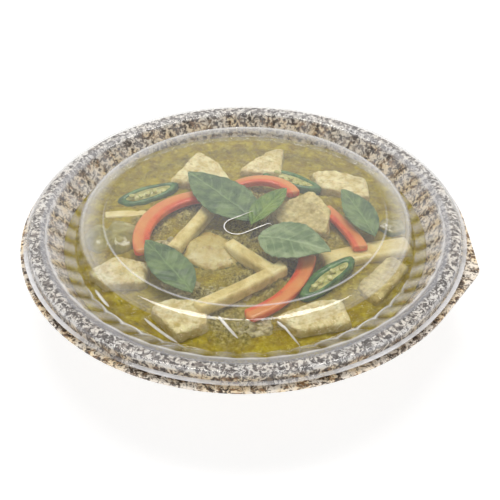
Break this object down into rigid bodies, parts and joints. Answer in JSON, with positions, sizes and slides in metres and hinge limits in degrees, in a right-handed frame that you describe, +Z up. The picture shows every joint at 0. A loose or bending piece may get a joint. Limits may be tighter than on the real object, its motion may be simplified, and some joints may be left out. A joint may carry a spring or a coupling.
{
  "type": "takeaway food bowl with lid",
  "caption": "Round shallow takeaway bowl with a speckled stone print, holding curry with tofu, vegetables and basil, under a clear fluted press-on lid with a steam vent.",
  "frame": {"origin": "centre of the foot ring, on the plane it stands on", "axes": "+Z up along the bowl's axis; +X to the thumb tab on the flange"},
  "size_m": [0.2107, 0.2058, 0.0441],
  "materials": {
    "stone_print_plastic": "speckled stone print, satin to glossy",
    "clear_plastic": "clear, glossy thermoformed sheet",
    "curry": "wet, oily, flecked with herbs",
    "tofu": "pale golden, porous",
    "eggplant": "green skin, pale flesh",
    "green_chili": "moist green skin, pale seeded flesh",
    "red_chili": "moist red skin",
    "bamboo_shoot": "pale, fibrous",
    "mince": "crumbly",
    "basil_leaf": "wilted leaf with veins"
  },
  "bodies": {
    "bowl": {"bamboo_front": "bamboo_shoot", "bamboo_left": "bamboo_shoot", "bamboo_low": "bamboo_shoot", "bamboo_middle": "bamboo_shoot", "bamboo_right": "bamboo_shoot", "basil_front": "basil_leaf", "basil_left": "basil_leaf", "basil_middle": "basil_leaf", "basil_right": "basil_leaf", "basil_side": "basil_leaf", "bowl": "stone_print_plastic", "curry_sauce": "curry", "eggplant_left": "eggplant", "eggplant_middle": "eggplant", "eggplant_right": "eggplant", "green_chili_back": "green_chili", "green_chili_left": "green_chili", "green_chili_right": "green_chili", "mince_front": "mince", "mince_front_right": "mince", "mince_left": "mince", "mince_low": "mince", "mince_right": "mince", "red_chili_back": "red_chili", "red_chili_front": "red_chili", "red_chili_left": "red_chili", "red_chili_right": "red_chili", "tofu_back": "tofu", "tofu_back_left": "tofu", "tofu_back_right": "tofu", "tofu_front": "tofu", "tofu_front_left": "tofu", "tofu_front_right": "tofu", "tofu_middle": "tofu", "tofu_right": "tofu"},
    "lid": {"lid": "clear_plastic"},
    "vent_flap": {"vent_flap": "clear_plastic"}
  },
  "joints": [
    {"name": "lid_lift", "type": "slide", "parent": "bowl", "child": "lid", "axis": [0, 0, 1], "range_m": [0, 0.08]},
    {"name": "vent_flap_hinge", "type": "hinge", "parent": "lid", "child": "vent_flap", "pos_m": [0.008, -0.0033, 0.0441], "axis": [-0.7593, 0.6508, 0], "range_deg": [0, 40], "stiffness_Nm_per_rad": 0.0005}
  ]
}
